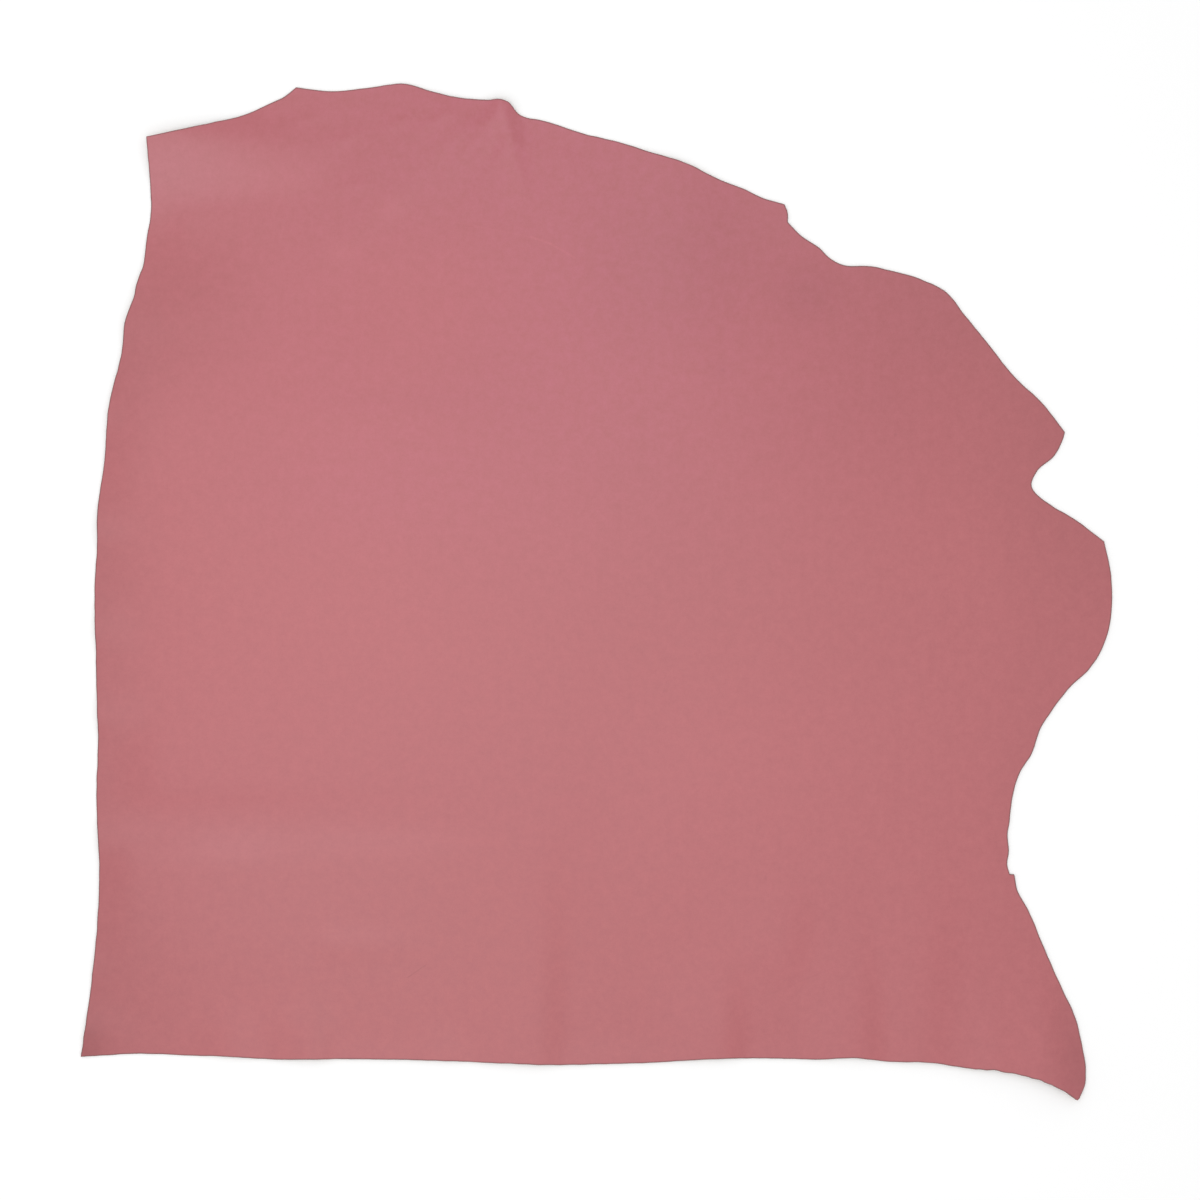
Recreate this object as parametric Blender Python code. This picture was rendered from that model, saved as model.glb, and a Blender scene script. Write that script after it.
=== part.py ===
"""Quarter cowhide, dyed pink and finished smooth, lying flat with its grain side up.

Frame: metres, +Z up, +X from the backbone cut towards the belly, +Y from the cross cut
towards the neck.  The origin is under the middle of the hide's bounding box, on the
surface that the hide lies on.

The hide is one sheet.  Its outline is a ring of smooth stretches that meet at sharp
corners.  Its underside rests on the surface, except where soft folds and ripples lift it.
"""

import math
from collections import namedtuple

import bmesh
import bpy
from mathutils import Vector
from mathutils.geometry import delaunay_2d_cdt, interpolate_bezier
from mathutils.kdtree import KDTree

# Driving dimensions, in metres
HIDE_WIDTH = 1.134
HIDE_LENGTH = 1.117
THICKNESS = 0.0014

# Fineness of the mesh.  Steps and gaps are in metres, and the strides are in lattice steps.
OUTLINE_STEP = 0.012
LATTICE_STEP = 0.006
LATTICE_STRIDES = (8, 4, 2, 1)
STEPS_PER_FOLD_SIDE = 2.7
EDGE_GAP = 0.009
SAME_POINT = 1e-6

# Reach of a smooth curve's handles, as a share of the distance between its rows
HANDLE_SHARE = 1 / 3

# Finish
NODE_NAME = "hide"
LEATHER_COLOUR = (0.500, 0.180, 0.196, 1.0)
LEATHER_ROUGHNESS = 0.55

MM = 0.001

# The outline, clockwise from the neck corner of the backbone cut, in millimetres from the
# left and lower sides of the hide's bounding box.  Each stretch is a smooth curve through
# its rows (x_mm, y_mm); it ends in a sharp corner where the next one starts.
Stretch = namedtuple("Stretch", "name rows")

OUTLINE = (
    Stretch("neck flap", (
        (73.2, 1057.6), (146.0, 1073.6), (175.8, 1080.9), (208.5, 1095.2), (225.0, 1103.3),
        (236.8, 1112.7),
    )),
    Stretch("neck", (
        (236.8, 1112.7), (276.1, 1108.6), (318.1, 1112.6), (358.5, 1116.6), (383.8, 1108.8),
        (414.0, 1101.8), (447.7, 1098.9), (464.6, 1098.3), (470.4, 1095.8), (474.6, 1091.0),
        (480.7, 1084.1), (490.6, 1079.5), (503.6, 1077.2), (552.2, 1062.2), (592.1, 1052.5),
        (628.1, 1041.0), (665.5, 1029.4), (703.7, 1010.7), (727.1, 1001.9), (748.6, 991.7),
        (773.9, 984.2),
    )),
    Stretch("neck nick", (
        (773.9, 984.2), (777.0, 976.8), (777.6, 964.7),
    )),
    Stretch("shoulder", (
        (777.6, 964.7), (792.6, 949.1), (812.1, 936.5), (822.1, 926.3), (836.0, 918.3),
        (868.9, 916.0), (895.4, 910.2), (927.0, 900.6), (952.2, 887.2), (969.9, 865.2),
        (995.2, 834.1), (1028.0, 793.2), (1058.3, 764.6), (1082.3, 733.7),
    )),
    Stretch("armpit", (
        (1082.3, 733.7), (1079.1, 722.7), (1070.3, 707.3), (1051.2, 690.0), (1045.8, 673.4),
        (1049.1, 668.0), (1065.9, 654.3), (1093.4, 637.6), (1125.4, 613.5),
    )),
    Stretch("shank and flank", (
        (1125.4, 613.5), (1132.1, 582.8), (1134.2, 548.9), (1127.9, 507.1), (1120.9, 491.0),
        (1108.1, 472.1), (1091.4, 456.8), (1071.4, 432.3), (1056.3, 409.6), (1044.5, 377.6),
        (1034.7, 362.9), (1024.2, 330.4), (1021.8, 309.0), (1019.2, 287.7), (1020.8, 273.9),
        (1018.8, 258.5), (1021.6, 247.7),
    )),
    Stretch("flank step", (
        (1021.6, 247.7), (1026.5, 247.4),
    )),
    Stretch("belly and tip", (
        (1026.5, 247.4), (1029.8, 230.6), (1041.7, 209.0), (1054.4, 178.5), (1081.7, 116.4),
        (1092.2, 94.4), (1101.0, 60.0), (1105.2, 31.4), (1103.4, 14.6), (1098.6, 5.0),
        (1094.8, 0.0), (1090.8, 2.4), (1082.2, 9.1),
    )),
    Stretch("cross cut", (
        (1082.2, 9.1), (1062.6, 18.4), (1019.3, 30.2), (975.7, 34.5), (932.4, 40.7),
        (887.5, 41.6), (853.6, 45.6), (807.4, 43.9), (777.0, 44.8), (704.8, 45.0),
        (616.4, 40.0), (566.5, 38.8), (526.4, 38.0), (466.7, 40.0), (390.4, 42.8),
        (256.0, 44.4), (217.6, 44.0), (152.9, 47.6), (124.2, 48.2), (66.7, 50.2),
        (0.0, 47.0),
    )),
    Stretch("backbone cut", (
        (0.0, 47.0), (6.4, 89.9), (13.6, 146.0), (19.6, 218.9), (20.4, 258.9),
        (18.0, 306.9), (17.1, 326.4), (19.0, 405.9), (16.7, 467.5), (16.4, 497.0),
        (15.1, 566.5), (18.2, 614.9), (18.7, 650.9), (25.7, 698.8), (31.4, 764.5),
        (44.8, 820.1), (50.5, 860.6), (57.5, 878.4), (62.5, 899.8), (68.4, 915.6),
        (72.6, 948.2), (76.9, 974.5), (76.5, 999.8), (73.2, 1057.6),
    )),
)

# Soft folds and ripples, in millimetres in the outline's frame.  Each one is highest at
# its first end and dies away at its second.  left and right are the widths of its two
# sides, seen from the first end.  A fold starts FOLD_LEAD before its first end.
FOLD_LEAD = 60
Fold = namedtuple("Fold", "name x0 y0 x1 y1 rise left right")

FOLDS = (
    Fold("neck corner", 60, 1064, 320, 1036, 8.5, 44, 68),
    Fold("neck shelf", 40, 857, 250, 870, 4.0, 115, 45),
    Fold("backbone 1", 10, 752, 100, 750, 3.5, 40, 40),
    Fold("backbone 2", 6, 628, 84, 630, 4.5, 44, 36),
    Fold("backbone 3", 2, 516, 76, 516, 3.5, 44, 36),
    Fold("backbone 4", 4, 424, 90, 422, 3.8, 40, 38),
    Fold("backbone 5", 4, 290, 96, 288, 3.5, 34, 46),
    Fold("backbone 6", 0, 148, 80, 150, 1.6, 34, 40),
    Fold("backbone corner", -10, 74, 70, 84, 2.5, 36, 34),
    Fold("valley top", 90, 348, 520, 352, 2.4, 110, 36),
    Fold("valley foot", 62, 262, 560, 260, 5.0, 38, 190),
    Fold("cross 1", 169, 28, 172, 126, 3.2, 56, 34),
    Fold("cross 2", 256, 24, 260, 130, 4.8, 70, 34),
    Fold("cross 3", 405, 28, 407, 96, 2.6, 60, 32),
    Fold("cross 4", 498, 20, 502, 430, 4.2, 110, 44),
    Fold("cross 5", 703, 28, 706, 190, 3.8, 90, 36),
    Fold("cross 6", 772, 170, 776, 262, 1.6, 80, 38),
    Fold("cross 7", 859, 25, 852, 210, 3.2, 80, 32),
    Fold("cross 8", 930, 20, 930, 300, 2.8, 74, 42),
    Fold("cross 9", 1008, 10, 1000, 170, 2.5, 40, 36),
    Fold("tip roll", 1084, 0, 1034, 172, 8.5, 200, 30),
    Fold("cross cut curl", 200, 36, 1600, 36, 1.6, 34, 60),
    Fold("pucker right", 464, 1102, 490, 968, 4.6, 16, 30),
    Fold("pucker left", 470, 1098, 356, 968, 3.2, 26, 18),
    Fold("neck drape", 416, 1058, 252, 905, 1.9, 22, 110),
    Fold("old fold across", 60, 744, 1040, 746, 3.2, 170, 240),
    Fold("old fold along", 503, 240, 520, 735, 1.2, 120, 80),
    Fold("shoulder drape", 656, 1040, 664, 760, 2.0, 80, 70),
)


def clear_objects():
    """Remove every object that is in the file."""
    for item in list(bpy.data.objects):
        bpy.data.objects.remove(item, do_unlink=True)


def tangent(before, here, after):
    """Direction of a smooth curve at a row, pulled towards its nearer neighbour."""
    back = here - before
    ahead = after - here
    return (back.normalized() * ahead.length + ahead.normalized() * back.length).normalized()


def smooth_stretch(rows, step):
    """Points along one smooth stretch, without its last one."""
    knots = [Vector(row) * MM for row in rows]
    directions = [(knots[1] - knots[0]).normalized()]
    for before, here, after in zip(knots, knots[1:], knots[2:]):
        directions.append(tangent(before, here, after))
    directions.append((knots[-1] - knots[-2]).normalized())
    points = []
    for index in range(len(knots) - 1):
        start, end = knots[index], knots[index + 1]
        reach = (end - start).length * HANDLE_SHARE
        parts = max(1, math.ceil((end - start).length / step))
        curve = interpolate_bezier(
            start,
            start + directions[index] * reach,
            end - directions[index + 1] * reach,
            end,
            parts + 1,
        )
        points.extend(Vector(point[:2]) for point in curve[:-1])
    return points


def outline_points(step):
    """The whole outline as a closed ring of points, at the hide's driving size."""
    ring = []
    for stretch in OUTLINE:
        ring.extend(smooth_stretch(stretch.rows, step))
    width = max(point.x for point in ring) - min(point.x for point in ring)
    length = max(point.y for point in ring) - min(point.y for point in ring)
    stretch_x = HIDE_WIDTH / width
    stretch_y = HIDE_LENGTH / length
    return [Vector((point.x * stretch_x, point.y * stretch_y)) for point in ring]


def ease(value):
    """0 to 1 with level ends, as value goes from 0 to 1."""
    value = min(max(value, 0.0), 1.0)
    return value * value * (3 - 2 * value)


def fold_height(fold, point):
    """How far one fold lifts the sheet at a point, in metres."""
    start = Vector((fold.x0, fold.y0)) * MM
    run = Vector((fold.x1, fold.y1)) * MM - start
    offset = point - start
    along = offset.dot(run) / run.length_squared
    across = (run.x * offset.y - run.y * offset.x) / run.length
    side = (fold.left if across > 0 else fold.right) * MM
    if along >= 1 or abs(across) >= side:
        return 0.0
    profile = 0.5 + 0.5 * math.cos(math.pi * across / side)
    before = ease(1 + along * run.length / (FOLD_LEAD * MM))
    return fold.rise * MM * profile * ease(1 - along) * before


def lift(point):
    """Height of the underside at a point, where folds that meet run into each other."""
    return math.hypot(*(fold_height(fold, point) for fold in FOLDS))


def wanted_step(point):
    """Point spacing that the folds over a point need, or infinity on the flat."""
    sides = [
        min(fold.left, fold.right) * MM
        for fold in FOLDS
        if fold_height(fold, point) > 0
    ]
    return min(sides) / STEPS_PER_FOLD_SIDE if sides else math.inf


def lattice_points(ring):
    """Staggered points clear of the outline, closer together where folds need them."""
    edge = KDTree(len(ring))
    for index, point in enumerate(ring):
        edge.insert(point.to_3d(), index)
    edge.balance()
    points = []
    for row in range(math.ceil(HIDE_LENGTH / LATTICE_STEP)):
        for column in range(math.ceil(HIDE_WIDTH / LATTICE_STEP)):
            stride = next(s for s in LATTICE_STRIDES if row % s == 0 and column % s == 0)
            stagger = 0.5 * stride * (row // stride % 2)
            point = Vector(((column + stagger) * LATTICE_STEP, row * LATTICE_STEP))
            needed = stride == LATTICE_STRIDES[0] or wanted_step(point) <= stride * LATTICE_STEP
            if needed and edge.find(point.to_3d())[2] > EDGE_GAP:
                points.append(point)
    return points


def sheet_mesh():
    """The underside of the hide, as a mesh of triangles lifted by its folds."""
    ring = outline_points(OUTLINE_STEP)
    edges = [(index, (index + 1) % len(ring)) for index in range(len(ring))]
    faces_inside_edges = 1
    vertices, _, faces, _, _, _ = delaunay_2d_cdt(
        ring + lattice_points(ring), edges, [], faces_inside_edges, SAME_POINT
    )
    centre = Vector((HIDE_WIDTH, HIDE_LENGTH)) / 2
    mesh = bpy.data.meshes.new(NODE_NAME)
    mesh.from_pydata([(*(point - centre), lift(point)) for point in vertices], [], faces)
    work = bmesh.new()
    work.from_mesh(mesh)
    loose = [vertex for vertex in work.verts if not vertex.link_faces]
    bmesh.ops.delete(work, geom=loose, context="VERTS")
    downward = [face for face in work.faces if face.normal.z < 0]
    bmesh.ops.reverse_faces(work, faces=downward)
    work.to_mesh(mesh)
    work.free()
    return mesh


def leather():
    """Pink dyed leather with a satin finish."""
    material = bpy.data.materials.new("leather")
    material.use_nodes = True
    shader = material.node_tree.nodes["Principled BSDF"]
    shader.inputs["Base Color"].default_value = LEATHER_COLOUR
    shader.inputs["Roughness"].default_value = LEATHER_ROUGHNESS
    shader.inputs["Metallic"].default_value = 0.0
    return material


def make_hide():
    """The hide as one solid sheet."""
    mesh = sheet_mesh()
    hide = bpy.data.objects.new(NODE_NAME, mesh)
    bpy.context.collection.objects.link(hide)
    mesh.materials.append(leather())
    solidify = hide.modifiers.new("thickness", "SOLIDIFY")
    solidify.thickness = THICKNESS
    solidify.offset = 1.0
    mesh.shade_smooth()
    return hide


clear_objects()
make_hide()
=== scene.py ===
"""Looks of a quarter cowhide that lies flat with its dyed grain side up.

Frame: metres, +Z up, +X from the backbone cut towards the belly, +Y from the cross cut
towards the neck.  The hide is one sheet with three finishes: the dyed grain side, the
natural flesh side and the cut edge between them.
"""

import math
from collections import namedtuple

import bmesh
import bpy
import numpy as np
from bpy.props import FloatProperty, FloatVectorProperty, PointerProperty
from bpy.types import Operator, Panel, PropertyGroup
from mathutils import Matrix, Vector, noise
from mathutils.geometry import delaunay_2d_cdt, interpolate_bezier
from mathutils.kdtree import KDTree


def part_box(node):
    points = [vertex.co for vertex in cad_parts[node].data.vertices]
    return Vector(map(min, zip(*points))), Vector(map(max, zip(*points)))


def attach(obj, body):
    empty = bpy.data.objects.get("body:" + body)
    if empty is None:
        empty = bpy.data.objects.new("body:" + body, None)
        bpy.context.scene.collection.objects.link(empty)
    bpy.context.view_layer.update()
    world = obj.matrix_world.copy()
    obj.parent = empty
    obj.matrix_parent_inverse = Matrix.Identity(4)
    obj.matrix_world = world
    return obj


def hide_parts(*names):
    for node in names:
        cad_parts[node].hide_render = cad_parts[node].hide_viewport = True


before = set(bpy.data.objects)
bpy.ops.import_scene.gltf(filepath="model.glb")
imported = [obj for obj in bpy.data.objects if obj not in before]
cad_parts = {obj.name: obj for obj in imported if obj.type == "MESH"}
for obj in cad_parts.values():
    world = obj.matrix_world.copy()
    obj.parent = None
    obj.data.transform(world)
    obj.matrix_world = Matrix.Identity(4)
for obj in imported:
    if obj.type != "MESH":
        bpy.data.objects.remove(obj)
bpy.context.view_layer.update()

bl_info = {
    "name": "Leather Hide",
    "version": (1, 0, 0),
    "blender": (4, 5, 0),
    "location": "View3D > Sidebar > Leather Hide",
    "description": "A quarter cowhide laid flat, with its finishes and a plain studio",
    "category": "Add Mesh",
}

MM = 0.001

# Names
CAD_NODE = "hide"
PIECE_NAME = "leather_hide"
FLOOR_NAME = "floor"
EDGE_ATTRIBUTE = "near_edge"
# Attributes that carry the drifts: tint, and painted light, painted shade and painted sheen
TINT_AND_PAINTED_LIGHT_ATTRIBUTES = ("pale", "dust", "cool")

# Driving sizes, in metres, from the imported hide
CAD_LOW, CAD_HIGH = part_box(CAD_NODE)
HIDE_WIDTH = CAD_HIGH.x - CAD_LOW.x
HIDE_LENGTH = CAD_HIGH.y - CAD_LOW.y

# Fineness of the mesh: how many lattice steps apart its points may be, the width of a
# fold's side, in strides, up to which the points of that stride are used, and how far every
# second row of points is shifted, in strides
LATTICE_STRIDES = (4, 2, 1)
STEPS_PER_FOLD_SIDE = 3.0
STAGGER = 0.5

# Clear space between the edge band and the lattice, in outline steps
BAND_GAP_STEPS = 0.6

# Triangulation: the distance in metres under which two points are one, and the mode that
# keeps only the faces inside the edges
SAME_POINT = 1e-6
FACES_INSIDE_EDGES = 1

# Reach of a smooth curve's handles, as a share of the distance between its rows
HANDLE_SHARE = 1 / 3

# Thickening: it goes out of the underside's faces, upwards, and the finishes of the flesh
# side and of the rim come this far after the grain side's
ALL_OUTWARDS = 1.0
FLESH_AFTER_GRAIN = 1
RIM_AFTER_GRAIN = 2

# The rounded cut edge: how many faces cross it, and the least angle that is rounded
ROUND_SEGMENTS = 2
ROUND_ANGLE = math.radians(50)

# The outline, clockwise from the neck corner of the backbone cut, in millimetres from the
# left and lower sides of the hide's bounding box.  Each stretch is a smooth curve through
# its rows (x_mm, y_mm); it ends in a sharp corner where the next one starts.
Stretch = namedtuple("Stretch", "name rows")

OUTLINE = (
    Stretch("neck flap", (
        (73.2, 1057.6), (146.0, 1073.6), (175.8, 1080.9), (208.5, 1095.2), (225.0, 1103.3),
        (236.8, 1112.7),
    )),
    Stretch("neck", (
        (236.8, 1112.7), (276.1, 1108.6), (318.1, 1112.6), (358.5, 1116.6), (383.8, 1108.8),
        (414.0, 1101.8), (447.7, 1098.9), (464.6, 1098.3), (470.4, 1095.8), (474.6, 1091.0),
        (480.7, 1084.1), (490.6, 1079.5), (503.6, 1077.2), (552.2, 1062.2), (592.1, 1052.5),
        (628.1, 1041.0), (665.5, 1029.4), (703.7, 1010.7), (727.1, 1001.9), (748.6, 991.7),
        (773.9, 984.2),
    )),
    Stretch("neck nick", (
        (773.9, 984.2), (777.0, 976.8), (777.6, 964.7),
    )),
    Stretch("shoulder", (
        (777.6, 964.7), (792.6, 949.1), (812.1, 936.5), (822.1, 926.3), (836.0, 918.3),
        (868.9, 916.0), (895.4, 910.2), (927.0, 900.6), (952.2, 887.2), (969.9, 865.2),
        (995.2, 834.1), (1028.0, 793.2), (1058.3, 764.6), (1082.3, 733.7),
    )),
    Stretch("armpit", (
        (1082.3, 733.7), (1079.1, 722.7), (1070.3, 707.3), (1051.2, 690.0), (1045.8, 673.4),
        (1049.1, 668.0), (1065.9, 654.3), (1093.4, 637.6), (1125.4, 613.5),
    )),
    Stretch("shank and flank", (
        (1125.4, 613.5), (1132.1, 582.8), (1134.2, 548.9), (1127.9, 507.1), (1120.9, 491.0),
        (1108.1, 472.1), (1091.4, 456.8), (1071.4, 432.3), (1056.3, 409.6), (1044.5, 377.6),
        (1034.7, 362.9), (1024.2, 330.4), (1021.8, 309.0), (1019.2, 287.7), (1020.8, 273.9),
        (1018.8, 258.5), (1021.6, 247.7),
    )),
    Stretch("flank step", (
        (1021.6, 247.7), (1026.5, 247.4),
    )),
    Stretch("belly and tip", (
        (1026.5, 247.4), (1029.8, 230.6), (1041.7, 209.0), (1054.4, 178.5), (1081.7, 116.4),
        (1092.2, 94.4), (1101.0, 60.0), (1105.2, 31.4), (1103.4, 14.6), (1098.6, 5.0),
        (1094.8, 0.0), (1090.8, 2.4), (1082.2, 9.1),
    )),
    Stretch("cross cut", (
        (1082.2, 9.1), (1062.6, 18.4), (1019.3, 30.2), (975.7, 34.5), (932.4, 40.7),
        (887.5, 41.6), (853.6, 45.6), (807.4, 43.9), (777.0, 44.8), (704.8, 45.0),
        (616.4, 40.0), (566.5, 38.8), (526.4, 38.0), (466.7, 40.0), (390.4, 42.8),
        (256.0, 44.4), (217.6, 44.0), (152.9, 47.6), (124.2, 48.2), (66.7, 50.2),
        (0.0, 47.0),
    )),
    Stretch("backbone cut", (
        (0.0, 47.0), (6.4, 89.9), (13.6, 146.0), (19.6, 218.9), (20.4, 258.9),
        (18.0, 306.9), (17.1, 326.4), (19.0, 405.9), (16.7, 467.5), (16.4, 497.0),
        (15.1, 566.5), (18.2, 614.9), (18.7, 650.9), (25.7, 698.8), (31.4, 764.5),
        (44.8, 820.1), (50.5, 860.6), (57.5, 878.4), (62.5, 899.8), (68.4, 915.6),
        (72.6, 948.2), (76.9, 974.5), (76.5, 999.8), (73.2, 1057.6),
    )),
)

# Soft folds and ripples, in millimetres in the outline's frame.  Each one is highest at
# its first end and dies away at its second.  left and right are the widths of its two
# sides, seen from the first end.  A fold starts FOLD_LEAD before its first end.
FOLD_LEAD = 60
Fold = namedtuple("Fold", "name x0 y0 x1 y1 rise left right")

FOLDS = (
    Fold("neck corner", 60, 1064, 320, 1036, 8.5, 44, 68),
    Fold("neck shelf", 40, 857, 250, 870, 4.0, 115, 45),
    Fold("backbone 1", 10, 752, 100, 750, 3.5, 40, 40),
    Fold("backbone 2", 6, 628, 84, 630, 4.5, 44, 36),
    Fold("backbone 3", 2, 516, 76, 516, 3.5, 44, 36),
    Fold("backbone 4", 4, 424, 90, 422, 3.8, 40, 38),
    Fold("backbone 5", 4, 290, 96, 288, 3.5, 34, 46),
    Fold("backbone 6", 0, 148, 80, 150, 1.6, 34, 40),
    Fold("backbone corner", -10, 74, 70, 84, 2.5, 36, 34),
    Fold("valley top", 90, 348, 520, 352, 2.4, 110, 36),
    Fold("valley foot", 62, 262, 560, 260, 5.0, 38, 190),
    Fold("cross 1", 169, 28, 172, 126, 3.2, 56, 34),
    Fold("cross 2", 256, 24, 260, 130, 4.8, 70, 34),
    Fold("cross 3", 405, 28, 407, 96, 2.6, 60, 32),
    Fold("cross 4", 498, 20, 502, 430, 4.2, 110, 44),
    Fold("cross 5", 703, 28, 706, 190, 3.8, 90, 36),
    Fold("cross 6", 772, 170, 776, 262, 1.6, 80, 38),
    Fold("cross 7", 859, 25, 852, 210, 3.2, 80, 32),
    Fold("cross 8", 930, 20, 930, 300, 2.8, 74, 42),
    Fold("cross 9", 1008, 10, 1000, 170, 2.5, 40, 36),
    Fold("tip roll", 1084, 0, 1034, 172, 8.5, 200, 30),
    Fold("cross cut curl", 200, 36, 1600, 36, 1.6, 34, 60),
    Fold("pucker right", 464, 1102, 490, 968, 4.6, 16, 30),
    Fold("pucker left", 470, 1098, 356, 968, 3.2, 26, 18),
    Fold("neck drape", 416, 1058, 252, 905, 1.9, 22, 110),
    Fold("old fold across", 60, 744, 1040, 746, 3.2, 170, 240),
    Fold("old fold along", 503, 240, 520, 735, 1.2, 120, 80),
    Fold("shoulder drape", 656, 1040, 664, 760, 2.0, 80, 70),
)

# Fine creases that only the visible sheet has, laid out in the same way.  A crease starts
# CREASE_LEAD before its first end.
CREASE_LEAD = 12

CREASES = (
    Fold("old fold line", 66, 747, 1000, 742, 0.60, 45, 60),
    Fold("lower back bump", 270, 170, 410, 168, 0.8, 16, 22),
    Fold("neck fold foot", 112, 968, 300, 984, 1.0, 18, 44),
    Fold("pucker lip", 458, 1098, 446, 1058, 0.7, 9, 10),
    Fold("pucker knuckle", 461, 1096, 469, 1060, 0.9, 8, 12),
    Fold("neck crease 1", 446, 1060, 392, 1006, 0.50, 9, 9),
    Fold("neck crease 2", 430, 1072, 366, 1022, 0.45, 9, 9),
    Fold("neck crease 3", 404, 1084, 330, 1040, 0.50, 9, 9),
    Fold("neck crease 4", 470, 1052, 424, 980, 0.45, 10, 10),
    Fold("neck crease 5", 500, 1044, 478, 990, 0.45, 9, 10),
    Fold("neck crease 6", 534, 1036, 540, 975, 0.50, 14, 12),
    Fold("neck crease 7", 356, 1076, 318, 1054, 0.55, 8, 9),
    Fold("neck crease 8", 300, 1060, 250, 1036, 0.50, 9, 9),
    Fold("neck crease 9", 310, 1006, 246, 990, 0.45, 9, 11),
    Fold("neck crease 10", 262, 1082, 196, 1066, 0.45, 9, 9),
)

# Soft waves: their size along the sheet and their height, in mm
Swell = namedtuple("Swell", "size height")

# Gentle unevenness of a sheet that has been rolled
SWELLS = (Swell(150, 0.60), Swell(62, 0.36), Swell(28, 0.18))

# How the hand-cut edge wanders about its smooth outline: a little all round, and more
# along the trimmed stretch of the cross cut, within TRIM_REACH of TRIM_PLACE, in mm
EDGE_WANDER = Swell(11, 0.4)
TRIM_WANDER = Swell(9, 1.7)
TRIM_PLACE = (1025, 30)
TRIM_REACH = 80

# Broad, soft drifts of the grain's colour, as ellipses in millimetres in the outline's frame.  pale,
# dust and cool are shares of the colour at an ellipse's middle: above 0 it is paler,
# greyer and bluer there.  Many drifts are painted light: a painted pool of light on the back,
# painted shade along the borders, in the corners, at the tip, under the shelf and beside folds
# and ripples, and painted sheen on the neck and in the valley.  The others change tone and tint.
Drift = namedtuple("Drift", "name x y reach_x reach_y pale dust cool")

DRIFTS = (
    # A painted pool of light on the back, and painted shade towards the borders and corners where the
    # light falls off
    Drift("pale back", 260, 620, 440, 460, 0.055, 0.0, 0.0),
    Drift("backbone border", -10, 560, 125, 560, -0.10, 0.0, 0.0),
    Drift("backbone corner", -20, 20, 190, 430, -0.12, 0.0, 0.0),
    Drift("upper backbone", 90, 876, 160, 125, -0.08, 0.0, 0.0),
    Drift("shoulder", 1010, 880, 420, 300, -0.105, 0.0, 0.0),
    Drift("shank", 1140, 650, 190, 260, -0.10, 0.0, 0.0),
    Drift("cross cut border", 560, -30, 760, 250, -0.02, 0.0, 0.0),
    # Paler patches
    Drift("pale cross cut", 370, 60, 260, 130, 0.02, 0.0, 0.0),
    Drift("pale neck", 400, 905, 260, 120, 0.025, 0.0, 0.0),
    # Painted sheen along the valley
    Drift("painted sheen in the valley 1", 168, 279, 80, 30, 0.035, 0.035, 0.0),
    Drift("painted sheen in the valley 2", 330, 285, 170, 26, 0.02, 0.03, 0.0),
    # Paler, greyer spots
    Drift("pale grey spot 1", 341, 979, 30, 22, 0.035, 0.02, 0.0),
    Drift("pale grey spot 2", 286, 932, 28, 20, 0.035, 0.02, 0.0),
    Drift("pale grey spot 3", 305, 184, 80, 16, 0.025, 0.02, 0.0),
    # Painted shade along the flank border, at the curled tip, in the cut corner and under the neck
    # shelf
    Drift("flank border", 1050, 330, 80, 260, -0.045, 0.0, 0.0),
    Drift("tip", 1116, 36, 84, 190, -0.16, 0.0, 0.0),
    Drift("cut corner", 0, 50, 48, 70, -0.12, -0.03, 0.0),
    Drift("under the shelf", 60, 800, 70, 120, -0.04, 0.0, 0.0),
    # Paler and darker patches
    Drift("middle of the side", 740, 360, 250, 170, 0.035, 0.0, 0.0),
    Drift("upper shoulder", 640, 800, 240, 120, 0.02, 0.0, 0.0),
    Drift("side of the neck", 670, 940, 200, 180, -0.045, 0.0, 0.0),
    Drift("behind the nick", 800, 886, 60, 55, -0.05, 0.0, 0.0),
    # Painted sheen on the neck corner and on the neck fold
    Drift("sheen on the neck corner", 80, 1018, 150, 85, 0.04, 0.17, 0.0),
    Drift("sheen on the neck fold", 205, 1010, 110, 42, 0.035, 0.04, 0.0),
    # Greyer patches
    Drift("greyer lower back", 230, 200, 330, 170, 0.0, 0.07, 0.0),
    Drift("greyer cross cut", 400, 70, 360, 170, 0.0, 0.035, 0.0),
    # Painted sheen in the valley
    Drift("painted grey sheen in the valley", 150, 285, 210, 45, 0.0, 0.04, 0.0),
    # Rosier, warmer and cooler patches
    Drift("rosy upper back", 340, 850, 420, 330, 0.0, -0.04, 0.0),
    Drift("rosy upper backbone", 110, 880, 130, 115, 0.01, -0.045, 0.0),
    Drift("rosy shoulder", 860, 780, 300, 250, 0.0, -0.04, 0.0),
    Drift("rosy side of the neck", 760, 880, 160, 130, 0.0, -0.03, 0.0),
    Drift("cool neck", 560, 1100, 760, 640, 0.0, 0.0, 0.10),
    Drift("warm lower back", 350, 130, 520, 250, 0.0, 0.0, -0.022),
    Drift("warm upper back", 385, 870, 170, 160, 0.0, 0.0, -0.035),
    Drift("cool middle", 320, 665, 220, 90, 0.0, 0.0, 0.025),
    # Painted shade on the slope before the old fold
    Drift("shade before the fold", 340, 769, 150, 22, -0.02, 0.0, 0.0),
    # Darker patches
    Drift("dark patch 1", 705, 802, 28, 24, -0.03, 0.0, 0.0),
    Drift("dark patch 2", 884, 769, 30, 26, -0.02, 0.0, 0.0),
    # Painted shade on two ripples by the cross cut
    Drift("shaded ripple 1", 262, 84, 24, 60, -0.035, 0.0, 0.0),
    Drift("shaded ripple 2", 512, 80, 22, 70, -0.02, 0.0, 0.0),
    # A cooler patch
    Drift("cool upper back", 500, 760, 640, 280, 0.0, 0.0, 0.035),
)

# Natural marks in the grain, as lines in millimetres in the outline's frame.  A mark dies
# away at its reach from the line.  tint is above 0 for a pale scar and below 0 for a dark
# scratch or pore.
Mark = namedtuple("Mark", "name x0 y0 x1 y1 reach tint")

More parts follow.
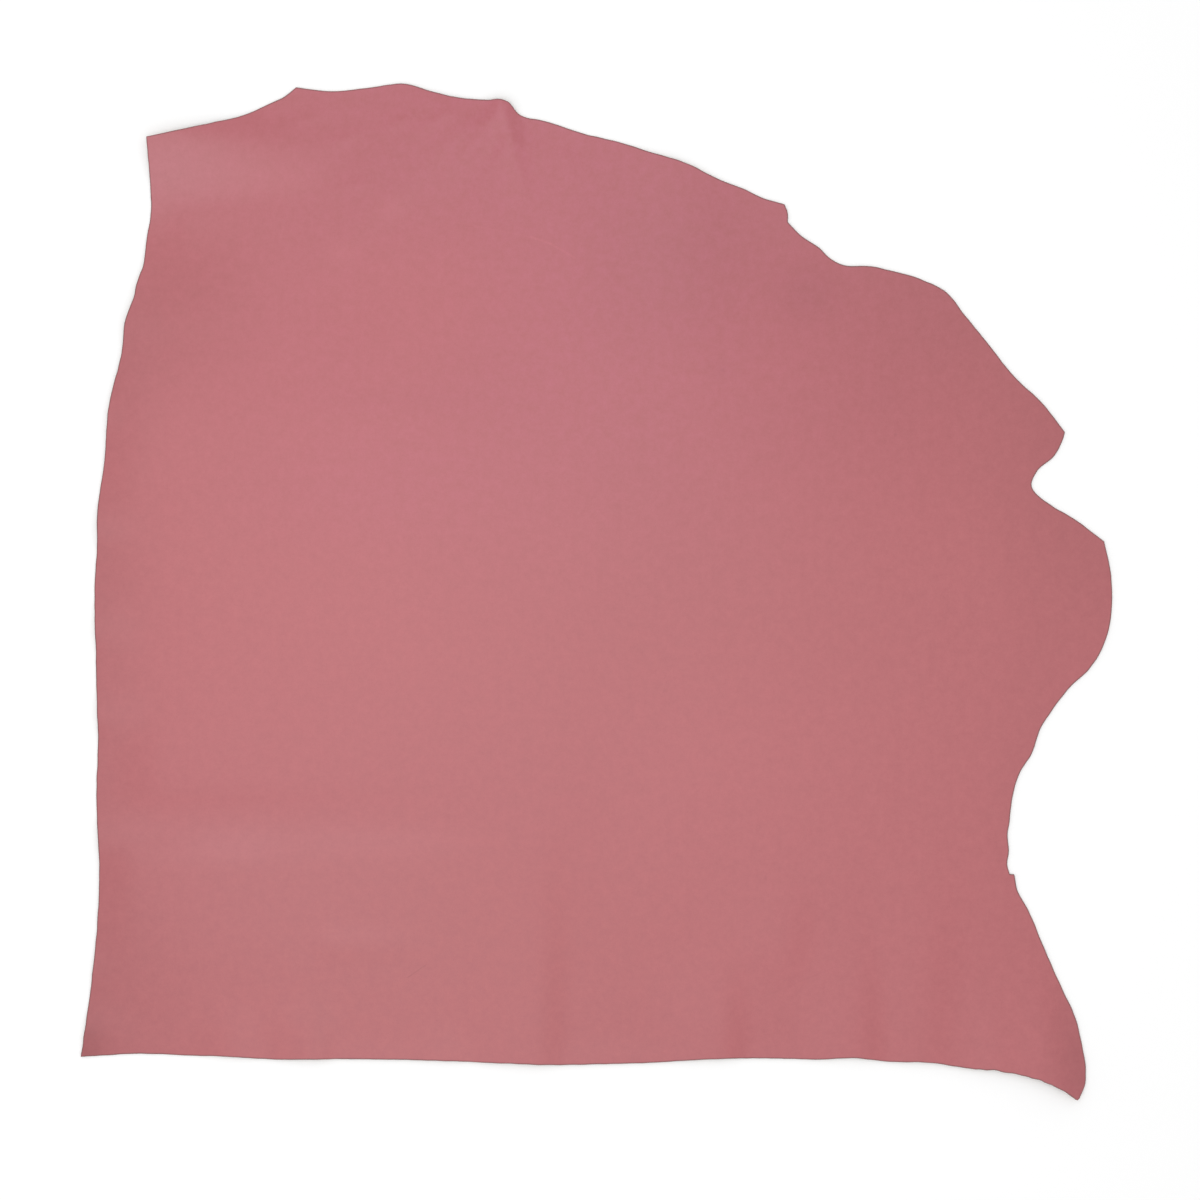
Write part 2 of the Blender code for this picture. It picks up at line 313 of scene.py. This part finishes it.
MARKS = (
    Mark("healed scratch, end", 495.0, 948.2, 516.5, 940.9, 1.7, 0.05),
    Mark("healed scratch, middle", 516.5, 940.9, 542.9, 925.3, 1.6, 0.045),
    Mark("healed scratch, start", 410.3, 964.7, 495.0, 948.2, 1.1, 0.02),
    Mark("short scratch", 359.7, 134.2, 378.4, 147.4, 1.0, -0.10),
    Mark("long scratch", 741.4, 108.9, 884.4, 169.4, 1.2, -0.02),
    Mark("dark pore 1", 705.1, 801.9, 706.0, 802.0, 2.6, -0.06),
    Mark("dark pore 2", 642.4, 449.9, 643.4, 450.0, 3.4, -0.05),
    Mark("dark pore 3", 895.4, 730.4, 896.0, 731.0, 2.4, -0.06),
    Mark("dark pore 4", 752.4, 243.1, 753.0, 243.6, 2.6, -0.05),
    Mark("dark pore 5", 427.9, 614.9, 428.4, 615.4, 2.6, -0.05),
)

# Soft patterns in the finishes: the size of their patches, in metres, how many finer layers
# they have, and how strong those layers are
Pattern = namedtuple("Pattern", "size detail roughness")
DYE_CLOUDS = Pattern(0.16, 2.0, 0.5)
DYE_MOTTLE = Pattern(0.014, 4.0, 0.85)
DYE_HUE = Pattern(0.007, 3.0, 0.8)
EDGE_BAND_PATCHES = Pattern(0.03, 2.0, 0.5)
FLESH_FIBRES = Pattern(0.004, 5.0, 0.7)
FLESH_PATCHES = Pattern(0.09, 3.0, 0.5)
RIM_FIBRES = Pattern(0.0012, 3.0, 0.7)
RIM_RUNS = Pattern(0.045, 2.0, 0.5)

# How much each pattern changes the colour of the grain side, as a share of it
CLOUD_TINT = 0.03
MOTTLE_TINT = 0.19
PEBBLE_TINT = 0.05
HUE_DUST = 0.09
HUE_COOL = 0.05

# How much the mottle varies the cool share of the colour, as a multiple of that share
COOL_MOTTLE = 3.0

# The grain side: its gloss, how much the mottle roughens it, and its relief in metres
GRAIN_GLOSS = 0.42
MOTTLE_ROUGHNESS = 0.08
MOTTLE_RELIEF = 0.10 * MM
PEBBLE_RELIEF = 0.015 * MM

# The darker band of the grain side along the cut edge, partly the edge's own colour and partly
# painted shade where the edge turns down: its level, and how much it comes and goes
EDGE_BAND_LEVEL = 1.1
EDGE_BAND_RANGE = 0.8

# The flesh side: direction of its fibres, in radians, how long they are for their width,
# how much fibres and patches change its colour, its roughness and its relief in metres
FIBRE_TURN = 0.5
FIBRE_STRETCH = 3.0
FIBRE_TINT = 0.35
PATCH_TINT = 0.18
FLESH_ROUGHNESS = 0.92
FIBRE_RELIEF = 0.35 * MM

# The rim: where its runs of bare fibres start and are whole, how bare they get, how ragged
# the fibres make them, its roughness and its relief in metres
BARE_START = 0.02
BARE_WHOLE = 0.25
BARE_SHARE = 0.7
RIM_FIBRE_SHARE = 0.4
RIM_ROUGHNESS = 0.85
RIM_RELIEF = 0.2 * MM

# The photograph's frame, in metres at the surface that the hide lies on
PICTURE_WIDTH = 1.32
PICTURE_CENTRE = (0.0038, -0.0094)
SENSOR_WIDTH = 36.0

# The studio's matt floor, and the colour of the even light in its room
FLOOR_ROUGHNESS = 0.9
FLOOR_GLOSS = 0.1
ROOM_COLOUR = (1.0, 1.0, 1.0, 1.0)

# The studio's soft lights, in metres.  size is (width, length).
Lamp = namedtuple("Lamp", "name place target size")
TOP_LAMP = Lamp("top light", (-0.26, 0.0, 2.5), (-0.26, 0.0, 0.0), (1.4, 2.0))
SIDE_LAMP = Lamp("side light", (-2.4, 0.0, 1.0), (0.0, 0.0, 0.0), (1.2, 1.2))


class HideSettings(PropertyGroup):
    """Sizes and colours of the hide."""

    thickness: FloatProperty(
        name="Thickness",
        description="Thickness of the leather",
        default=1.4 * MM,
        unit="LENGTH",
    )
    edge_round: FloatProperty(
        name="Edge rounding",
        description="How far the cut edge is rounded over",
        default=0.45 * MM,
        unit="LENGTH",
    )
    # The darker band along the cut edge is partly the edge's own colour and partly painted shade
    # where the edge turns down
    edge_band: FloatProperty(
        name="Edge band",
        description="Width of the pressed, darker band along the cut edge",
        default=1.6 * MM,
        unit="LENGTH",
    )
    outline_step: FloatProperty(
        name="Outline step",
        description="Spacing of the points along the outline",
        default=4.0 * MM,
        unit="LENGTH",
    )
    lattice_step: FloatProperty(
        name="Lattice step",
        description="Spacing of the points where the finest creases need them",
        default=2.5 * MM,
        unit="LENGTH",
    )
    grain_colour: FloatVectorProperty(
        name="Grain colour",
        description="Dyed colour of the grain side",
        default=(0.434, 0.1243, 0.1362),
        subtype="COLOR",
        min=0.0,
        max=1.0,
    )
    flesh_colour: FloatVectorProperty(
        name="Flesh colour",
        description="Colour of the natural flesh side",
        default=(0.520, 0.380, 0.300),
        subtype="COLOR",
        min=0.0,
        max=1.0,
    )
    edge_colour: FloatVectorProperty(
        name="Edge colour",
        description="Colour of the cut edge",
        default=(0.165, 0.070, 0.067),
        subtype="COLOR",
        min=0.0,
        max=1.0,
    )
    grain_roughness: FloatProperty(
        name="Grain roughness",
        description="Roughness of the satin grain side",
        default=0.36,
        min=0.0,
        max=1.0,
        subtype="FACTOR",
    )
    pebble_size: FloatProperty(
        name="Pebble size",
        description="Width of one pebble of the grain",
        default=1.1 * MM,
        unit="LENGTH",
    )


class StudioSettings(PropertyGroup):
    """Floor, lights and lens of the plain studio."""

    floor_size: FloatProperty(
        name="Floor size",
        description="Side of the square floor",
        default=60.0,
        unit="LENGTH",
    )
    floor_colour: FloatVectorProperty(
        name="Floor colour",
        description="Colour of the pale floor",
        default=(0.93, 0.93, 0.93),
        subtype="COLOR",
        min=0.0,
        max=1.0,
    )
    room_light: FloatProperty(
        name="Room light",
        description="Strength of the even light from all around",
        default=0.92,
        min=0.0,
    )
    top_power: FloatProperty(
        name="Top light power",
        description="Power of the large light above the hide",
        default=13.0,
        min=0.0,
        unit="POWER",
    )
    side_power: FloatProperty(
        name="Side light power",
        description="Power of the large light beside the backbone cut",
        default=4.0,
        min=0.0,
        unit="POWER",
    )
    lens: FloatProperty(
        name="Lens",
        description="Focal length of the camera",
        default=85.0,
        unit="CAMERA",
    )


class Number:
    """A number that varies over a surface; Python's operators on it add Math nodes."""

    def __init__(self, finish, socket):
        self.finish = finish
        self.socket = socket

    def math(self, operation, *terms):
        """The result of a Math node on these terms."""
        node = self.finish.node("ShaderNodeMath", {"operation": operation}, dict(enumerate(terms)))
        return Number(self.finish, node.outputs[0])

    def __add__(self, other):
        return self.math("ADD", self, other)

    def __radd__(self, other):
        return self.math("ADD", other, self)

    def __sub__(self, other):
        return self.math("SUBTRACT", self, other)

    def __rsub__(self, other):
        return self.math("SUBTRACT", other, self)

    def __mul__(self, other):
        return self.math("MULTIPLY", self, other)

    def __rmul__(self, other):
        return self.math("MULTIPLY", other, self)

    def clamped(self):
        """The number held between 0 and 1."""
        return self.math("MINIMUM", self.math("MAXIMUM", self, 0.0), 1.0)

    def between(self, low, high):
        """0 below low and 1 above high, with a smooth climb from one to the other."""
        node = self.finish.node(
            "ShaderNodeMapRange",
            {"interpolation_type": "SMOOTHSTEP"},
            {"Value": self, "From Min": low, "From Max": high},
        )
        return Number(self.finish, node.outputs["Result"])


class Finish:
    """One material, with the few node makers that its pattern needs."""

    def __init__(self, name):
        self.material = bpy.data.materials.new(name)
        self.material.use_nodes = True
        self.tree = self.material.node_tree
        self.shader = self.tree.nodes["Principled BSDF"]
        self.place = self.node("ShaderNodeTexCoord").outputs["Object"]

    def put(self, socket, value):
        """Sets an input socket to a value, or links it to a socket or a Number."""
        if isinstance(value, Number):
            value = value.socket
        if isinstance(value, bpy.types.NodeSocket):
            self.tree.links.new(value, socket)
        else:
            socket.default_value = value

    def node(self, kind, settings=None, inputs=None):
        """A node of any kind, with its settings made before its inputs."""
        node = self.tree.nodes.new(kind)
        for name, value in (settings or {}).items():
            setattr(node, name, value)
        for name, value in (inputs or {}).items():
            self.put(node.inputs[name], value)
        return node

    def axes(self):
        """The x, y and z of a point on the hide, in metres."""
        node = self.node("ShaderNodeSeparateXYZ", inputs={0: self.place})
        return tuple(Number(self, socket) for socket in node.outputs)

    def stretched_place(self, turn, stretch):
        """The place turned about Z by turn, in radians, and drawn out along the new X."""
        node = self.node(
            "ShaderNodeMapping",
            {"vector_type": "TEXTURE"},
            {"Vector": self.place, "Rotation": (0.0, 0.0, turn), "Scale": (stretch, 1.0, 1.0)},
        )
        return node.outputs["Vector"]

    def patches(self, pattern, place=None):
        """Noise from about -0.5 to 0.5 with the patches of a pattern."""
        node = self.node(
            "ShaderNodeTexNoise",
            {"noise_dimensions": "2D"},
            {
                "Vector": place or self.place,
                "Scale": 1.0 / pattern.size,
                "Detail": pattern.detail,
                "Roughness": pattern.roughness,
            },
        )
        return Number(self, node.outputs["Fac"]) - 0.5

    def pebbles(self, size):
        """Rounded cells of about this size: 0 at their middles and near 1 between them."""
        node = self.node(
            "ShaderNodeTexVoronoi",
            {"feature": "F1", "voronoi_dimensions": "2D"},
            {"Vector": self.place, "Scale": 1.0 / size},
        )
        return Number(self, node.outputs["Distance"])

    def carried(self, name):
        """A number that the mesh carries as an attribute of its points."""
        node = self.node("ShaderNodeAttribute", {"attribute_name": name})
        return Number(self, node.outputs["Fac"])

    def coloured(self, red, green, blue):
        """A colour from three numbers."""
        node = self.node("ShaderNodeCombineXYZ", inputs={"X": red, "Y": green, "Z": blue})
        return node.outputs["Vector"]

    def mixed(self, factor, first, second):
        """A colour between two colours."""
        node = self.node("ShaderNodeMix", {"data_type": "RGBA"}, {0: factor, 6: first, 7: second})
        return node.outputs[2]

    def brightened(self, colour, factor):
        """A colour multiplied by a number."""
        node = self.node("ShaderNodeVectorMath", {"operation": "SCALE"}, {0: colour, "Scale": factor})
        return node.outputs[0]

    def relief(self, height):
        """Bends the shader's normal by a height in metres."""
        node = self.node("ShaderNodeBump", inputs={"Height": height, "Distance": 1.0})
        self.put(self.shader.inputs["Normal"], node.outputs["Normal"])


def with_alpha(colour):
    """A colour property as the four numbers that a colour socket takes."""
    return (*colour, 1.0)


def outline_mm(finish):
    """The place on the hide in millimetres in the outline's frame."""
    x, y, _ = finish.axes()
    return (x + HIDE_WIDTH / 2) * (1 / MM), (y + HIDE_LENGTH / 2) * (1 / MM)


def mark_tint(finish, mark, x, y):
    """How much one mark tints the grain at a place: mark.tint on its line, 0 away from it."""
    run_x, run_y = mark.x1 - mark.x0, mark.y1 - mark.y0
    length_squared = run_x**2 + run_y**2
    along = ((x - mark.x0) * run_x + (y - mark.y0) * run_y) * (1 / length_squared)
    along = along.clamped()
    off_x = x - mark.x0 - along * run_x
    off_y = y - mark.y0 - along * run_y
    gap_squared = off_x * off_x + off_y * off_y
    return (1 - gap_squared.between(0.0, mark.reach**2)) * mark.tint


def grain_finish(settings):
    """Dyed grain side: satin pink with a fine pebble, faint clouds and natural marks."""
    finish = Finish("pink grain")
    x, y = outline_mm(finish)
    clouds = finish.patches(DYE_CLOUDS)
    mottle = finish.patches(DYE_MOTTLE)
    hue = finish.patches(DYE_HUE)
    pebbles = finish.pebbles(settings.pebble_size)
    # The drifts carried by the mesh: tint, and painted light, painted shade and painted sheen
    pale, dust, cool = (finish.carried(name) for name in TINT_AND_PAINTED_LIGHT_ATTRIBUTES)
    shade = 1 + pale + clouds * CLOUD_TINT + mottle * MOTTLE_TINT - pebbles * PEBBLE_TINT
    for mark in MARKS:
        shade = shade + mark_tint(finish, mark, x, y)
    dust = dust + hue * HUE_DUST
    cool = cool + mottle * cool * COOL_MOTTLE - hue * HUE_COOL
    red, green, blue = settings.grain_colour
    colour = finish.coloured(
        shade * red, shade * (1 + dust) * green, shade * (1 + dust + cool) * blue
    )
    # The band along the cut edge: the edge's own colour, and painted shade where the edge turns down
    edge_tone_and_shade = finish.carried(EDGE_ATTRIBUTE) * (EDGE_BAND_LEVEL + finish.patches(EDGE_BAND_PATCHES) * EDGE_BAND_RANGE)
    finish.put(
        finish.shader.inputs["Base Color"],
        finish.mixed(edge_tone_and_shade.clamped(), colour, with_alpha(settings.edge_colour)),
    )
    finish.put(
        finish.shader.inputs["Roughness"], settings.grain_roughness + mottle * MOTTLE_ROUGHNESS
    )
    finish.put(finish.shader.inputs["Specular IOR Level"], GRAIN_GLOSS)
    finish.relief(mottle * MOTTLE_RELIEF - pebbles * PEBBLE_RELIEF)
    return finish.material


def flesh_finish(settings):
    """Natural flesh side: pale, matt and fibrous."""
    finish = Finish("pale flesh")
    fibres = finish.patches(FLESH_FIBRES, finish.stretched_place(FIBRE_TURN, FIBRE_STRETCH))
    shade = 1 + fibres * FIBRE_TINT + finish.patches(FLESH_PATCHES) * PATCH_TINT
    finish.put(
        finish.shader.inputs["Base Color"],
        finish.brightened(tuple(settings.flesh_colour), shade),
    )
    finish.put(finish.shader.inputs["Roughness"], FLESH_ROUGHNESS)
    finish.relief(fibres * FIBRE_RELIEF)
    return finish.material


def rim_finish(settings):
    """Cut edge: dyed brown where it was pressed, pale where the fibres show."""
    finish = Finish("cut edge")
    fibres = finish.patches(RIM_FIBRES)
    runs = finish.patches(RIM_RUNS) + fibres * RIM_FIBRE_SHARE
    bare = runs.between(BARE_START, BARE_WHOLE) * BARE_SHARE
    finish.put(
        finish.shader.inputs["Base Color"],
        finish.mixed(bare, with_alpha(settings.edge_colour), with_alpha(settings.flesh_colour)),
    )
    finish.put(finish.shader.inputs["Roughness"], RIM_ROUGHNESS)
    finish.relief(fibres * RIM_RELIEF)
    return finish.material


def tangent(before, here, after):
    """Direction of a smooth curve at a row, pulled towards its nearer neighbour."""
    back = here - before
    ahead = after - here
    return (back.normalized() * ahead.length + ahead.normalized() * back.length).normalized()


def smooth_stretch(rows, step):
    """Points along one smooth stretch, without its last one."""
    knots = [Vector(row) * MM for row in rows]
    directions = [(knots[1] - knots[0]).normalized()]
    for before, here, after in zip(knots, knots[1:], knots[2:]):
        directions.append(tangent(before, here, after))
    directions.append((knots[-1] - knots[-2]).normalized())
    points = []
    for index in range(len(knots) - 1):
        start, end = knots[index], knots[index + 1]
        reach = (end - start).length * HANDLE_SHARE
        parts = max(1, math.ceil((end - start).length / step))
        curve = interpolate_bezier(
            start,
            start + directions[index] * reach,
            end - directions[index + 1] * reach,
            end,
            parts + 1,
        )
        points.extend(Vector(point[:2]) for point in curve[:-1])
    return points


def outline_points(step):
    """The whole outline as a closed ring of points, at the hide's driving size."""
    ring = []
    for stretch in OUTLINE:
        ring.extend(smooth_stretch(stretch.rows, step))
    width = max(point.x for point in ring) - min(point.x for point in ring)
    length = max(point.y for point in ring) - min(point.y for point in ring)
    stretch_x = HIDE_WIDTH / width
    stretch_y = HIDE_LENGTH / length
    return [Vector((point.x * stretch_x, point.y * stretch_y)) for point in ring]


def inset_ring(ring, distances):
    """A clockwise ring, each point of it moved inwards by its own small distance."""
    inset = []
    neighbours = zip(ring[-1:] + ring[:-1], ring, ring[1:] + ring[:1], distances)
    for before, here, after, distance in neighbours:
        along = (here - before).normalized() + (after - here).normalized()
        inwards = Vector((along.y, -along.x)).normalized()
        inset.append(here + inwards * distance)
    return inset


def ease(value):
    """0 to 1 with level ends, as value goes from 0 to 1.  It may be an array of values."""
    value = np.clip(value, 0.0, 1.0)
    return value * value * (3 - 2 * value)


def edge_wander(point):
    """How far inwards the hand-cut edge wanders at a point, in metres; outwards below 0."""
    trimmed = ease(1 - (point / MM - Vector(TRIM_PLACE)).length / TRIM_REACH)
    wander = 0.0
    for swell, share in ((EDGE_WANDER, 1.0), (TRIM_WANDER, trimmed)):
        wander += noise.noise(point.to_3d() / (swell.size * MM)) * swell.height * MM * share
    return wander


def fold_height(fold, x, y, lead):
    """How far one fold lifts the sheet at arrays of places, all in metres."""
    x0, y0 = fold.x0 * MM, fold.y0 * MM
    run_x, run_y = fold.x1 * MM - x0, fold.y1 * MM - y0
    length = math.hypot(run_x, run_y)
    along = ((x - x0) * run_x + (y - y0) * run_y) / length**2
    across = (run_x * (y - y0) - run_y * (x - x0)) / length
    side = np.where(across > 0, fold.left, fold.right) * MM
    profile = 0.5 + 0.5 * np.cos(np.pi * np.clip(across / side, -1, 1))
    before = ease(1 + along * length / (lead * MM))
    return fold.rise * MM * profile * ease(1 - along) * before


def all_heights(x, y):
    """(height, finest side) of the folds and creases at arrays of places, in metres.

    Folds that meet run into each other, as the root of their squares.  Creases add up.
    """
    squares = np.zeros_like(x)
    finest = np.full_like(x, np.inf)
    creases = np.zeros_like(x)
    for table, lead in ((FOLDS, FOLD_LEAD), (CREASES, CREASE_LEAD)):
        for fold in table:
            height = fold_height(fold, x, y, lead)
            side = min(fold.left, fold.right) * MM
            finest = np.where(height > 0, np.minimum(finest, side), finest)
            if table is FOLDS:
                squares += height**2
            else:
                creases += height
    return np.sqrt(squares) + creases, finest


def swell_height(point):
    """Gentle unevenness at a point, in metres, and never below 0."""
    height = 0.0
    for layer, swell in enumerate(SWELLS):
        place = Vector((point.x, point.y, layer)) / (swell.size * MM)
        height += (0.5 + 0.5 * noise.noise(place)) * swell.height * MM
    return height


def tint_and_painted_light_shares(x, y):
    """The pale, dust and cool shares of the drifts, tint and painted light, at arrays of places, in
    metres.
    """
    shares = np.zeros((len(TINT_AND_PAINTED_LIGHT_ATTRIBUTES), len(x)))
    for drift in DRIFTS:
        off_x = (x / MM - drift.x) / drift.reach_x
        off_y = (y / MM - drift.y) / drift.reach_y
        weight = ease(1 - np.hypot(off_x, off_y))
        shares += np.outer((drift.pale, drift.dust, drift.cool), weight)
    return shares


def lattice_points(ring, step, gap):
    """Staggered points inside the outline, closer together where folds need them."""
    edge = KDTree(len(ring))
    for index, point in enumerate(ring):
        edge.insert(point.to_3d(), index)
    edge.balance()
    rows, columns = np.meshgrid(
        np.arange(math.ceil(HIDE_LENGTH / step)),
        np.arange(math.ceil(HIDE_WIDTH / step)),
        indexing="ij",
    )
    stride = np.ones_like(rows)
    for size in sorted(LATTICE_STRIDES):
        stride[(rows % size == 0) & (columns % size == 0)] = size
    x = (columns + STAGGER * stride * (rows // stride % 2)) * step
    y = rows * step
    _, finest = all_heights(x, y)
    needed = stride == max(LATTICE_STRIDES)
    needed |= finest / STEPS_PER_FOLD_SIDE <= stride * step
    found = []
    for place in zip(x[needed], y[needed]):
        point = Vector(place)
        if edge.find(point.to_3d())[2] > gap:
            found.append(point)
    return found


def flat_sheet(settings):
    """(points, triangles, on edge) of the sheet before its folds; on edge is 1 or 0."""
    ring = outline_points(settings.outline_step)
    count = len(ring)
    ring = inset_ring(ring, [edge_wander(point) for point in ring])
    inner = inset_ring(ring, [settings.edge_band] * count)
    edges = [(index, (index + 1) % count) for index in range(count)]
    edges += [(count + start, count + end) for start, end in edges]
    gap = settings.edge_band + BAND_GAP_STEPS * settings.outline_step
    points = ring + inner + lattice_points(ring, settings.lattice_step, gap)
    points, _, faces, originals, _, _ = delaunay_2d_cdt(
        points, edges, [], FACES_INSIDE_EDGES, SAME_POINT
    )
    on_edge = [float(any(index < count for index in source)) for source in originals]
    return points, faces, on_edge


def carry(mesh, name, values):
    """Gives every point of a mesh a number that a finish can read."""
    mesh.attributes.new(name, "FLOAT", "POINT").data.foreach_set("value", values)


def face_upwards(mesh):
    """Takes a sheet's loose points out and turns all its faces upwards."""
    work = bmesh.new()
    work.from_mesh(mesh)
    loose = [vertex for vertex in work.verts if not vertex.link_faces]
    bmesh.ops.delete(work, geom=loose, context="VERTS")
    downward = [face for face in work.faces if face.normal.z < 0]
    bmesh.ops.reverse_faces(work, faces=downward)
    work.to_mesh(mesh)
    work.free()


def sheet_mesh(settings):
    """The underside of the hide, as a mesh of triangles lifted by its folds."""
    points, faces, on_edge = flat_sheet(settings)
    x = np.array([point.x for point in points])
    y = np.array([point.y for point in points])
    heights, _ = all_heights(x, y)
    heights += [swell_height(point) for point in points]
    heights -= heights.min()
    centre = Vector((HIDE_WIDTH, HIDE_LENGTH)) / 2
    mesh = bpy.data.meshes.new(PIECE_NAME)
    mesh.from_pydata(
        [(*(point - centre), height) for point, height in zip(points, heights)],
        [],
        faces,
    )
    for name, shares in zip(TINT_AND_PAINTED_LIGHT_ATTRIBUTES, tint_and_painted_light_shares(x, y)):
        carry(mesh, name, shares)
    carry(mesh, EDGE_ATTRIBUTE, on_edge)
    face_upwards(mesh)
    return mesh


def apply_modifiers(piece):
    """Applies a piece's modifiers in order."""
    bpy.ops.object.select_all(action="DESELECT")
    bpy.context.view_layer.objects.active = piece
    piece.select_set(True)
    for modifier in list(piece.modifiers):
        bpy.ops.object.modifier_apply(modifier=modifier.name)


def thicken(hide, settings):
    """Gives the sheet its thickness and rounds its cut edge."""
    solidify = hide.modifiers.new("thickness", "SOLIDIFY")
    solidify.thickness = settings.thickness
    solidify.offset = ALL_OUTWARDS
    solidify.material_offset = FLESH_AFTER_GRAIN
    solidify.material_offset_rim = RIM_AFTER_GRAIN
    bevel = hide.modifiers.new("rounded edge", "BEVEL")
    bevel.width = settings.edge_round
    bevel.segments = ROUND_SEGMENTS
    bevel.limit_method = "ANGLE"
    bevel.angle_limit = ROUND_ANGLE
    apply_modifiers(hide)


def flat_area(ring):
    """Area inside a ring of points."""
    pairs = zip(ring, ring[1:] + ring[:1])
    return abs(sum(start.x * end.y - end.x * start.y for start, end in pairs)) / 2


class LEATHER_OT_lay_hide(Operator):
    """Make the hide from its outline and folds, and lay it on the floor"""

    bl_idname = "leather.lay_hide"
    bl_label = "Lay the hide"

    def execute(self, context):
        settings = context.scene.leather_hide
        mesh = sheet_mesh(settings)
        hide = bpy.data.objects.new(PIECE_NAME, mesh)
        context.collection.objects.link(hide)
        for material in (grain_finish(settings), flesh_finish(settings), rim_finish(settings)):
            mesh.materials.append(material)
        thicken(hide, settings)
        hide.data.shade_smooth()
        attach(hide, "root")
        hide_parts(CAD_NODE)
        flat_area(outline_points(settings.outline_step))
        return {"FINISHED"}


def floor_finish(settings):
    """Plain matt pale floor."""
    finish = Finish("pale floor")
    finish.put(finish.shader.inputs["Base Color"], with_alpha(settings.floor_colour))
    finish.put(finish.shader.inputs["Roughness"], FLOOR_ROUGHNESS)
    finish.put(finish.shader.inputs["Specular IOR Level"], FLOOR_GLOSS)
    return finish.material


def soft_light(lamp, power):
    """A large rectangular light that faces its target."""
    bpy.ops.object.light_add(type="AREA", location=lamp.place)
    light = bpy.context.active_object
    light.name = lamp.name
    light.data.shape = "RECTANGLE"
    light.data.size, light.data.size_y = lamp.size
    light.data.energy = power
    aim = Vector(lamp.target) - Vector(lamp.place)
    light.rotation_euler = aim.to_track_quat("-Z", "Y").to_euler()


def even_room(strength):
    """A room that lights everything evenly from all around."""
    world = bpy.data.worlds.new("room")
    world.use_nodes = True
    background = world.node_tree.nodes["Background"]
    background.inputs["Color"].default_value = ROOM_COLOUR
    background.inputs["Strength"].default_value = strength
    return world


def overhead_camera(lens, sight):
    """A camera that looks straight down on the photograph's frame, and sees as far as sight."""
    height = PICTURE_WIDTH * lens / SENSOR_WIDTH
    bpy.ops.object.camera_add(location=(*PICTURE_CENTRE, height), rotation=(0.0, 0.0, 0.0))
    camera = bpy.context.active_object
    camera.data.lens = lens
    camera.data.sensor_width = SENSOR_WIDTH
    camera.data.clip_end = sight
    return camera


class LEATHER_OT_set_studio(Operator):
    """Make the pale floor, the soft lights and the camera above the hide"""

    bl_idname = "leather.set_studio"
    bl_label = "Set the studio"

    def execute(self, context):
        settings = context.scene.leather_studio
        scene = context.scene
        bpy.ops.mesh.primitive_plane_add(size=settings.floor_size, location=(0.0, 0.0, 0.0))
        floor = context.active_object
        floor.name = FLOOR_NAME
        floor.data.materials.append(floor_finish(settings))
        soft_light(TOP_LAMP, settings.top_power)
        soft_light(SIDE_LAMP, settings.side_power)
        scene.world = even_room(settings.room_light)
        scene.view_settings.view_transform = "Standard"
        scene.camera = overhead_camera(settings.lens, settings.floor_size)
        return {"FINISHED"}


class LEATHER_PT_panel(Panel):
    """Settings and steps of the leather hide"""

    bl_idname = "LEATHER_PT_panel"
    bl_label = "Leather Hide"
    bl_space_type = "VIEW_3D"
    bl_region_type = "UI"
    bl_category = "Leather Hide"

    def draw(self, context):
        for settings in (context.scene.leather_hide, context.scene.leather_studio):
            box = self.layout.box()
            for name in settings.bl_rna.properties.keys():
                if name not in ("rna_type", "name"):
                    box.prop(settings, name)
        for operator in STEPS:
            self.layout.operator(operator.bl_idname)


STEPS = (LEATHER_OT_lay_hide, LEATHER_OT_set_studio)
CLASSES = (HideSettings, StudioSettings, *STEPS, LEATHER_PT_panel)


def register():
    """Registers the settings, the operators and the panel."""
    for item in CLASSES:
        bpy.utils.register_class(item)
    bpy.types.Scene.leather_hide = PointerProperty(type=HideSettings)
    bpy.types.Scene.leather_studio = PointerProperty(type=StudioSettings)


def unregister():
    """Takes away all that register added."""
    del bpy.types.Scene.leather_studio
    del bpy.types.Scene.leather_hide
    for item in reversed(CLASSES):
        bpy.utils.unregister_class(item)


def main():
    register()
    bpy.ops.leather.lay_hide()
    bpy.ops.leather.set_studio()


if __name__ == "__main__":
    main()
